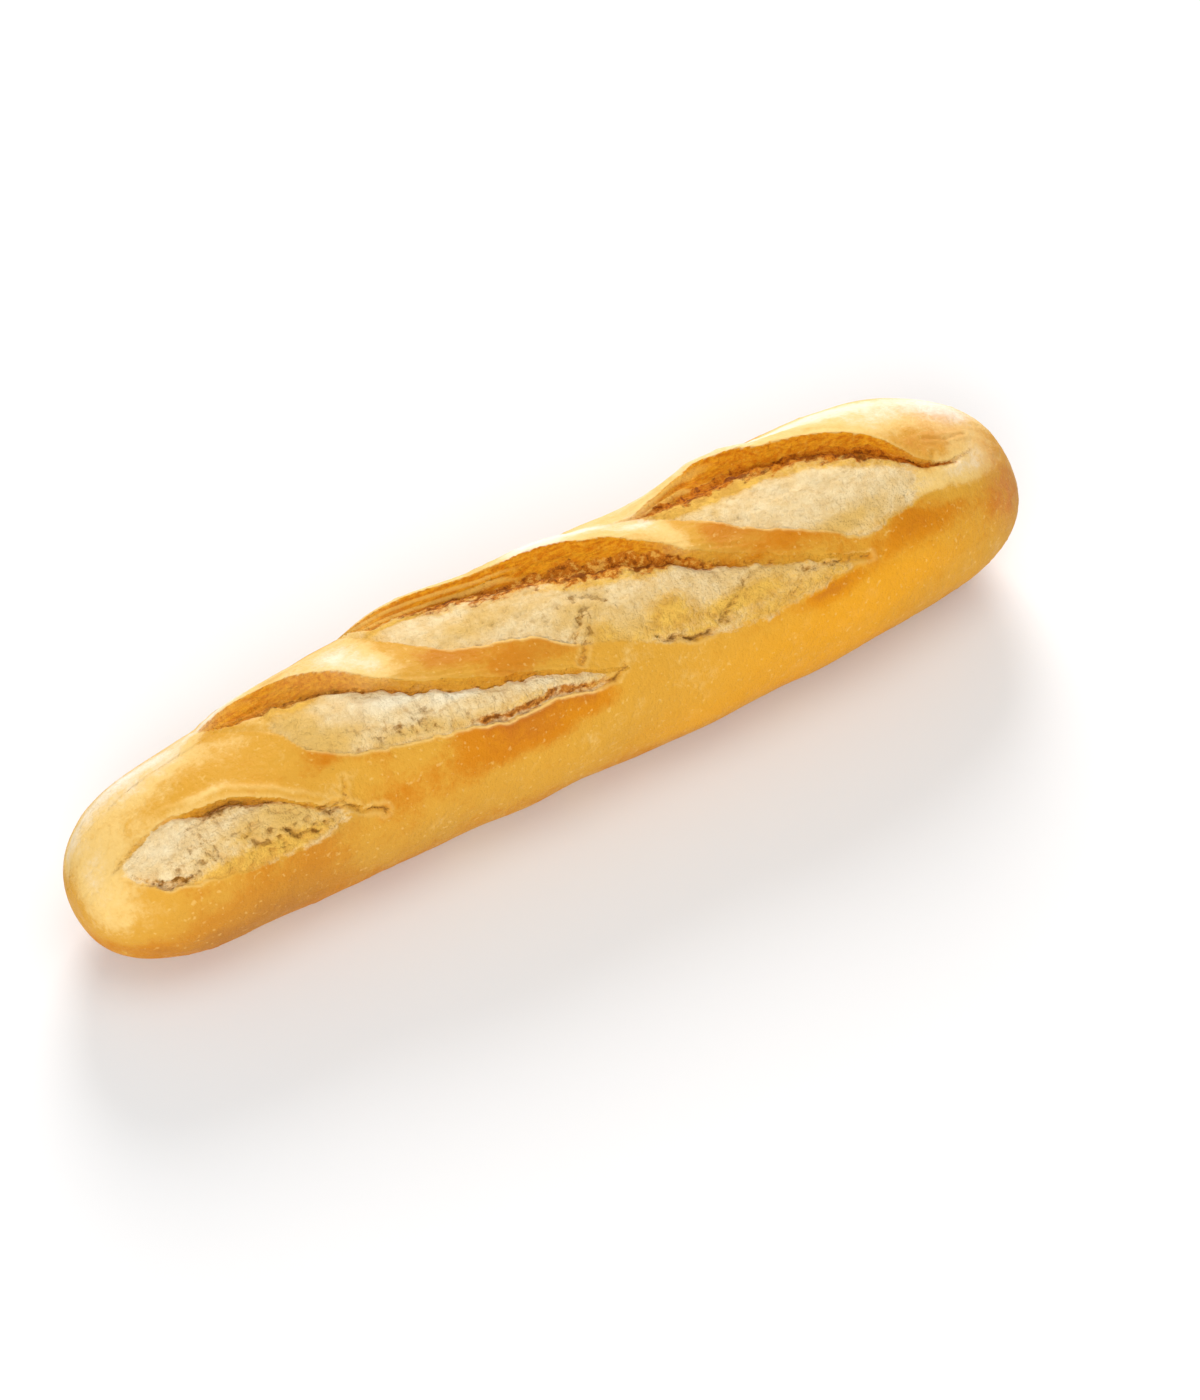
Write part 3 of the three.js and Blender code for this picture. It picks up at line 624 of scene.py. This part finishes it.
def fine_relief(place, x, angle, made):
    """The small relief, in millimetres along the normal: torn walls, crumb, blisters and wrinkles."""
    px, py, pz = place[..., 0], place[..., 1], place[..., 2]

    def solid(name, size):
        """Noise in space, with features of a size in millimetres."""
        return noise(SEEDS[name], px / size, py / size, pz / size)

    def layered_solid(name, octaves, size):
        return layered(SEEDS[name], octaves, px / size, py / size, pz / size)

    arc = made["arc"]
    crumb, torn, web, flaky = made["crumb"], made["torn"], made["web"], made["flaky"]
    wall = smooth(made["wall"] * 8)
    crust = 1 - np.maximum(crumb, wall)
    streaks = layered(SEEDS["streaks"], 2, (x - 0.2 * arc) / 1.3, arc / 5.0)
    grains = layered_solid("grains", 3, 2.2)
    lumps = layered_solid("lumps", 3, 5.0)
    pits = -smooth((solid("pits", 1.5) - 0.62 + 0.4 * made["pitted"]) / 0.3)
    holes = -smooth(1 - np.abs(layered_solid("split", 2, 3.4)) / 0.2)
    dimples = -smooth((solid("dimples", 3.4) - 0.3) / 0.5)
    blisters = smooth((solid("blisters", 1.8) - 0.45) / 0.5)
    wrinkles = made["inland"] * layered(SEEDS["wrinkles"], 3, px / 8.0, arc / 3.0)
    flakes = np.sin(2 * np.pi * (arc - 0.34 * x) / 1.6 + 2.5 * noise(SEEDS["flakes"], x / 9.0, arc / 4.0))
    fibres = made["fibrous"] * smooth((noise(SEEDS["fibres"], x / 14.0, arc / 7.0) + 0.35) * 2) * streaks
    relief = crumb * (0.28 * lumps + 0.2 * grains + 0.2 * fibres + 0.5 * pits + 0.4 * dimples)
    relief = relief + web * (0.7 * holes + 0.1)
    relief = relief + torn * (0.45 * grains + 0.3 * pits) + wall * 0.12 * grains + 0.16 * flaky * flakes
    relief = relief + crust * (0.14 * blisters + 0.09 * wrinkles + 0.14 * layered_solid("swells", 2, 14))
    # Painted shade in the web's holes and the crumb's pits.
    made.cover("gap", 0.7 * web * -holes)
    made.cover("gap", crumb * -pits * (0.35 + 0.35 * made["pitted"]))
    made["torn"] = clamp01(torn * (1 + 0.4 * grains))
    return relief * smooth(pz / 1.5)


def tube_faces(rings, points):
    """The faces of rings of points that are closed by a tip before the first and one after the last."""
    index = 1 + np.arange(rings * points).reshape(rings, points)
    after = np.roll(index, -1, axis=1)
    quads = np.stack([index[:-1], after[:-1], after[1:], index[1:]], -1).reshape(-1, 4)
    left = np.stack([np.zeros(points, int), after[0], index[0]], -1)
    right = np.stack([np.full(points, rings * points + 1), index[-1], after[-1]], -1)
    return quads.tolist() + left.tolist() + right.tolist()


def put_in_scene(name, data):
    obj = bpy.data.objects.new(name, data)
    bpy.context.scene.collection.objects.link(obj)
    return obj


def loaf_object():
    x = ring_places(RINGS)
    angle = ring_angles(x, ROUND)
    place, made = surface(x[:, None], angle)
    place = place + normals(place) * fine_relief(place, x[:, None], angle, made)[..., None]
    place[..., 2] = np.maximum(place[..., 2], 0)
    left, right = (surface(np.array([[tip]]), np.array([[0.0]]))[0][0] for tip in (-0.5 * LENGTH, 0.5 * LENGTH))
    points = np.concatenate([left, place.reshape(-1, 3), right])
    points[:, 1] -= 0.5 * (points[:, 1].min() + points[:, 1].max())
    mesh = bpy.data.meshes.new("loaf_crust")
    mesh.from_pydata((points * MM).tolist(), [], tube_faces(RINGS, ROUND))
    mesh.polygons.foreach_set("use_smooth", np.ones(len(mesh.polygons), bool))
    for name in MASKS:
        values = made[name]
        row = np.concatenate([values[0, :1], values.ravel(), values[-1, :1]]).astype(np.float32)
        mesh.attributes.new(name, "FLOAT", "POINT").data.foreach_set("value", row)
    mesh.update()
    return put_in_scene("loaf_crust", mesh)


# ---- Materials ----

# Colours as 8-bit sRGB values: the crust from painted highlight white and cream through pale to dark and what tints
# it, the painted highlight on rims, the crumb, the torn wall's layers, and the torn band with its painted shadow and
# the painted shade in gaps, yellowish and reddish.
COLOURS = {
    "highlight white": (255, 250, 240), "highlight cream": (248, 236, 212), "pale": (238, 198, 118), "golden": (218, 160, 54),
    "orange": (206, 126, 14), "brown": (176, 88, 20), "sunny": (238, 163, 22), "dull": (196, 142, 56),
    "blushed": (212, 126, 66), "speck": (246, 208, 124), "rim_highlight": (250, 214, 134),
    "cream": (250, 225, 174), "deep cream": (240, 207, 148), "fibre": (192, 144, 80), "streak": (220, 180, 112),
    "freckle": (190, 142, 78), "tanned": (229, 184, 96), "white crumb": (255, 240, 204),
    "toasted": (240, 190, 84), "deep toasted": (222, 168, 72),
    "wall": (238, 160, 28), "deep wall": (208, 116, 6), "wall clump": (242, 178, 60), "wall foot": (188, 96, 4),
    "wall layer": (244, 192, 92),
    "shred": (188, 132, 54), "warm shred": (202, 112, 12), "shadow": (142, 94, 26), "warm shadow": (140, 66, 0),
    "fleck": (236, 174, 76), "warm fleck": (220, 138, 30), "gap": (138, 92, 28), "warm gap": (128, 62, 0),
}
# How darkly baked the crust is, or below 0 how strong its painted highlight is, where each colour starts and is full.
CRUST_STEPS = [
    (-1.8, -0.9, "highlight cream"), (-1.1, -0.2, "pale"), (-0.25, 0.3, "golden"), (0.35, 0.95, "orange"),
    (0.95, 1.6, "brown"),
]
SPECULAR_LEVEL = 0.12
BUMP_STRENGTH, BUMP_DISTANCE = 0.9, 0.0008


def linear(red, green, blue):
    """A linear colour from 8-bit sRGB values."""
    values = [c / 255 for c in (red, green, blue)]
    return (*[v / 12.92 if v <= 0.04045 else ((v + 0.055) / 1.055) ** 2.4 for v in values], 1.0)


class Nodes:
    """A material's nodes, made by short calls."""

    def __init__(self, name):
        self.material = bpy.data.materials.new(name)
        self.material.use_nodes = True
        self.tree = self.material.node_tree
        self.shader = self.tree.nodes["Principled BSDF"]

    def put(self, socket, value):
        if isinstance(value, bpy.types.NodeSocket):
            self.tree.links.new(value, socket)
        else:
            socket.default_value = value

    def node(self, kind, output=0, settings=None, **inputs):
        """A node's output socket. Inputs are given by name, or by number as _0, _1 and so on."""
        n = self.tree.nodes.new(kind)
        for key, value in (settings or {}).items():
            setattr(n, key, value)
        for key, value in inputs.items():
            self.put(n.inputs[int(key[1:])] if key[0] == "_" else n.inputs[key], value)
        return n.outputs[output]

    def attribute(self, name):
        return self.node("ShaderNodeAttribute", 2, {"attribute_name": name})

    def math(self, operation, a, b=0.0, c=0.0):
        return self.node("ShaderNodeMath", 0, {"operation": operation}, _0=a, _1=b, _2=c)

    def times(self, a, b):
        return self.math("MULTIPLY", a, b)

    def varied(self, value, texture, strength):
        """A value with a texture on it, whose middle is 0.5."""
        return self.math("MULTIPLY_ADD", self.math("SUBTRACT", texture, 0.5), strength, value)

    def ramp(self, value, low, high, to_low=0.0, to_high=1.0):
        settings = {"interpolation_type": "SMOOTHSTEP", "clamp": True}
        return self.node("ShaderNodeMapRange", 0, settings, _0=value, _1=low, _2=high, _3=to_low, _4=to_high)

    def noise(self, size, detail, roughness, stretch=None):
        """Noise whose features are size metres wide, and stretch is by how much it is drawn out along each axis."""
        place = self.node("ShaderNodeNewGeometry", 0)
        if stretch:
            place = self.node("ShaderNodeVectorMath", 0, {"operation": "MULTIPLY"}, _0=place, _1=stretch)
        inputs = {"Scale": 1 / size, "Detail": detail, "Roughness": roughness}
        return self.node("ShaderNodeTexNoise", 0, None, Vector=place, **inputs)

    def blend(self, share, a, b):
        """Colour a where share is 0 and b where it is 1."""
        return self.node("ShaderNodeMix", 2, {"data_type": "RGBA"}, _0=share, _6=a, _7=b)


def crust_colour(n, c, at, coarse, medium, fine):
    bake_and_highlight = at["bake_and_highlight"]
    for texture, strength in ((coarse, 0.9), (medium, 0.6), (fine, 0.45)):
        bake_and_highlight = n.varied(bake_and_highlight, texture, strength)
    # Below 0 the crust takes the painted highlight colours, cream and white.
    crust = c["highlight white"]
    for low, high, name in CRUST_STEPS:
        crust = n.blend(n.ramp(bake_and_highlight, low, high), crust, c[name])
    crust = n.blend(n.times(at["sun"], 0.75), crust, c["sunny"])
    crust = n.blend(n.times(at["dull"], 0.6), crust, c["dull"])
    crust = n.blend(n.times(at["blush"], n.ramp(medium, 0.3, 0.6, 0.3, 0.7)), crust, c["blushed"])
    specks = n.noise(0.0013, 1.0, 0.4)
    return n.blend(n.ramp(specks, 0.64, 0.78, 0.0, 0.35), crust, c["speck"])


def crumb_colour(n, c, at, medium, fine, grit):
    across = n.noise(0.0011, 3.0, 0.6, (1.0, 0.28, 0.28))
    streaked = n.noise(0.0022, 2.0, 0.5, (0.3, 1.0, 1.0))
    cream = n.blend(n.ramp(medium, 0.3, 0.7), c["cream"], c["deep cream"])
    fibrous = n.math("MULTIPLY_ADD", at["fibrous"], n.math("MULTIPLY_ADD", at["pitted"], 0.5, 0.25), 0.02)
    cream = n.blend(n.times(n.ramp(across, 0.5, 0.72), fibrous), cream, c["fibre"])
    cream = n.blend(n.ramp(streaked, 0.5, 0.7, 0.0, 0.25), cream, c["streak"])
    freckled = n.math("MULTIPLY_ADD", at["pitted"], 0.55, 0.06)
    cream = n.blend(n.times(n.ramp(grit, 0.54, 0.68), freckled), cream, c["freckle"])
    tanned = n.varied(at["tan"], medium, 0.5)
    cream = n.blend(n.ramp(tanned, 0.0, 1.0, 0.0, 0.9), cream, c["tanned"])
    cream = n.blend(n.ramp(tanned, -1.2, -0.1, 1.0, 0.0), cream, c["white crumb"])
    toasted = n.blend(n.ramp(medium, 0.35, 0.65), c["toasted"], c["deep toasted"])
    return n.blend(n.ramp(n.varied(at["toast"], fine, 0.8), 0.05, 0.95), cream, toasted)


def wall_colour(n, c, at, clumps):
    along = n.noise(0.0009, 3.0, 0.6, (0.16, 1.0, 1.0))
    wall = n.blend(n.ramp(along, 0.3, 0.7), c["wall"], c["deep wall"])
    wall = n.blend(n.ramp(clumps, 0.5, 0.72, 0.0, 0.5), wall, c["wall clump"])
    # Darker towards the foot: partly browned torn crust, partly painted shade under the ear.
    wall = n.blend(n.ramp(at["wall"], 0.35, 0.95, 0.0, 0.45), wall, c["wall foot"])
    return n.blend(n.ramp(at["strata"], 0.25, 0.9, 0.0, 0.75), wall, c["wall layer"])


def torn_colour(n, c, warm, clumps, grit):
    shreds = n.math("ADD", n.times(clumps, 0.65), n.times(grit, 0.35))
    shred = n.blend(warm, c["shred"], c["warm shred"])
    shadow = n.blend(warm, c["shadow"], c["warm shadow"])
    fleck = n.blend(n.ramp(warm, 0.8, 1.0), c["fleck"], c["warm fleck"])
    torn = n.blend(n.ramp(shreds, 0.42, 0.49), fleck, shred)
    return n.blend(n.ramp(shreds, 0.51, 0.59), torn, shadow)


def loaf_material():
    n = Nodes("loaf_crust")
    c = {name: linear(*values) for name, values in COLOURS.items()}
    at = {name: n.attribute(name) for name in MASKS}
    coarse = n.noise(0.013, 2.0, 0.5)
    medium = n.noise(0.0036, 3.0, 0.6)
    fine = n.noise(0.0011, 3.0, 0.65)
    grit = n.noise(0.0014, 3.0, 0.65, (0.7, 1.0, 1.0))
    clumps = n.noise(0.0021, 4.0, 0.7)

    # How much of each thing shows, with edges broken up by the textures.
    wall = n.ramp(at["wall"], 0.0, 0.03)
    crumb = n.ramp(n.varied(n.varied(at["crumb"], medium, 0.9), grit, 0.8), 0.3, 0.7)
    torn = n.ramp(n.varied(at["torn"], grit, 1.5), 0.2, 0.8)
    gap = n.ramp(n.varied(at["gap"], grit, 0.9), 0.35, 0.85)

    crust = crust_colour(n, c, at, coarse, medium, fine)
    # A painted highlight along the lips, a second rim, the crumb's lower edges and the cracks' rims.
    rim_highlit_crust = n.blend(n.times(at["rim_highlight"], 0.7), crust, c["rim_highlight"])
    colour = n.blend(crumb, rim_highlit_crust, crumb_colour(n, c, at, medium, fine, grit))
    colour = n.blend(wall, colour, n.blend(at["tone"], crust, wall_colour(n, c, at, clumps)))
    colour = n.blend(n.times(torn, 0.96), colour, torn_colour(n, c, at["warm"], clumps, grit))
    # Painted shade in the crevices, grooves, cracks, pits and holes.
    colour = n.blend(n.times(gap, 0.75), colour, n.blend(at["warm"], c["gap"], c["warm gap"]))
    n.put(n.shader.inputs["Base Color"], colour)

    open_crumb = n.math("MAXIMUM", crumb, wall)
    roughness = n.math("MULTIPLY_ADD", open_crumb, 0.25, n.ramp(medium, 0.3, 0.7, 0.48, 0.62))
    n.put(n.shader.inputs["Roughness"], roughness)
    n.shader.inputs["Specular IOR Level"].default_value = SPECULAR_LEVEL

    grain = n.times(n.math("SUBTRACT", fine, 0.5), n.math("MULTIPLY_ADD", open_crumb, 0.9, 0.5))
    grain = n.math("MULTIPLY_ADD", medium, 0.6, grain)
    grain = n.math("MULTIPLY_ADD", n.times(n.math("SUBTRACT", clumps, 0.5), open_crumb), 1.4, grain)
    bump = n.node("ShaderNodeBump", 0, None, Strength=BUMP_STRENGTH, Distance=BUMP_DISTANCE, Height=grain)
    n.put(n.shader.inputs["Normal"], bump)
    return n.material


# ---- Floor, light and camera, in metres and degrees ----

FLOOR_REACH, FLOOR_GREY, FLOOR_ROUGHNESS = 3.0, 0.86, 0.7
WORLD_STRENGTH = 0.42
# Each light's name, azimuth, elevation, distance, size, power and colour.
LIGHTS = [
    ("key", 152, 28, 1.6, 0.8, 21, (1.0, 0.97, 0.96)),
    ("top", 60, 78, 1.6, 1.2, 5, (1, 1, 1)),
    ("front", -40, 32, 1.8, 1.2, 20, (1, 1, 1)),
]
PIXELS_WIDE, PIXELS_HIGH = 1200, 1400
VIEW_AZIMUTH, VIEW_ELEVATION, VIEW_DISTANCE = -32.22, 50.0, 0.9905
LENS, SENSOR = 100.0, 36.0
CENTRE_PIXEL = (552.1, 667.8)  # where the middle of the loaf shows in the 1200 by 1400 picture


def look_from(azimuth, elevation):
    """The back, right and up directions of a camera or light that looks from there."""
    a, e = math.radians(azimuth), math.radians(elevation)
    back = Vector((math.sin(a) * math.cos(e), -math.cos(a) * math.cos(e), math.sin(e)))
    right = Vector((math.cos(a), math.sin(a), 0))
    return back, right, back.cross(right)


def aim_at(obj, target, directions, distance):
    back, right, up = directions
    turn = Matrix((right, up, back)).transposed()
    obj.matrix_world = Matrix.Translation(target + back * distance) @ turn.to_4x4()


def add_camera():
    directions = look_from(VIEW_AZIMUTH, VIEW_ELEVATION)
    _, right, up = directions
    metres_per_pixel = VIEW_DISTANCE / (PIXELS_HIGH * LENS / SENSOR)
    target = Vector((0, 0, CENTRE_HEIGHT * MM))
    target += right * (PIXELS_WIDE / 2 - CENTRE_PIXEL[0]) * metres_per_pixel
    target -= up * (PIXELS_HIGH / 2 - CENTRE_PIXEL[1]) * metres_per_pixel
    data = bpy.data.cameras.new("camera")
    data.lens, data.sensor_width = LENS, SENSOR
    camera = put_in_scene("camera", data)
    aim_at(camera, target, directions, VIEW_DISTANCE)
    bpy.context.scene.camera = camera


def add_light(name, azimuth, elevation, distance, size, power, colour):
    data = bpy.data.lights.new(name, "AREA")
    data.shape = "DISK"
    data.size, data.energy, data.color = size, power, colour
    aim_at(put_in_scene(name, data), Vector((0, 0, 0)), look_from(azimuth, elevation), distance)


def add_floor():
    mesh = bpy.data.meshes.new("floor")
    r = FLOOR_REACH
    mesh.from_pydata([(-r, -r, 0), (r, -r, 0), (r, r, 0), (-r, r, 0)], [], [(0, 1, 2, 3)])
    floor = put_in_scene("floor", mesh)
    n = Nodes("floor")
    n.shader.inputs["Base Color"].default_value = (FLOOR_GREY, FLOOR_GREY, FLOOR_GREY, 1)
    n.shader.inputs["Roughness"].default_value = FLOOR_ROUGHNESS
    mesh.materials.append(n.material)


def add_world():
    world = bpy.data.worlds.new("studio")
    world.use_nodes = True
    background = world.node_tree.nodes["Background"]
    background.inputs["Color"].default_value = (1, 1, 1, 1)
    background.inputs["Strength"].default_value = WORLD_STRENGTH
    bpy.context.scene.world = world


loaf = loaf_object()
loaf.data.materials.append(loaf_material())
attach(loaf, "root")
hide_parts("loaf")

add_floor()
add_world()
for light in LIGHTS:
    add_light(*light)
add_camera()
bpy.context.scene.view_settings.view_transform = "Standard"
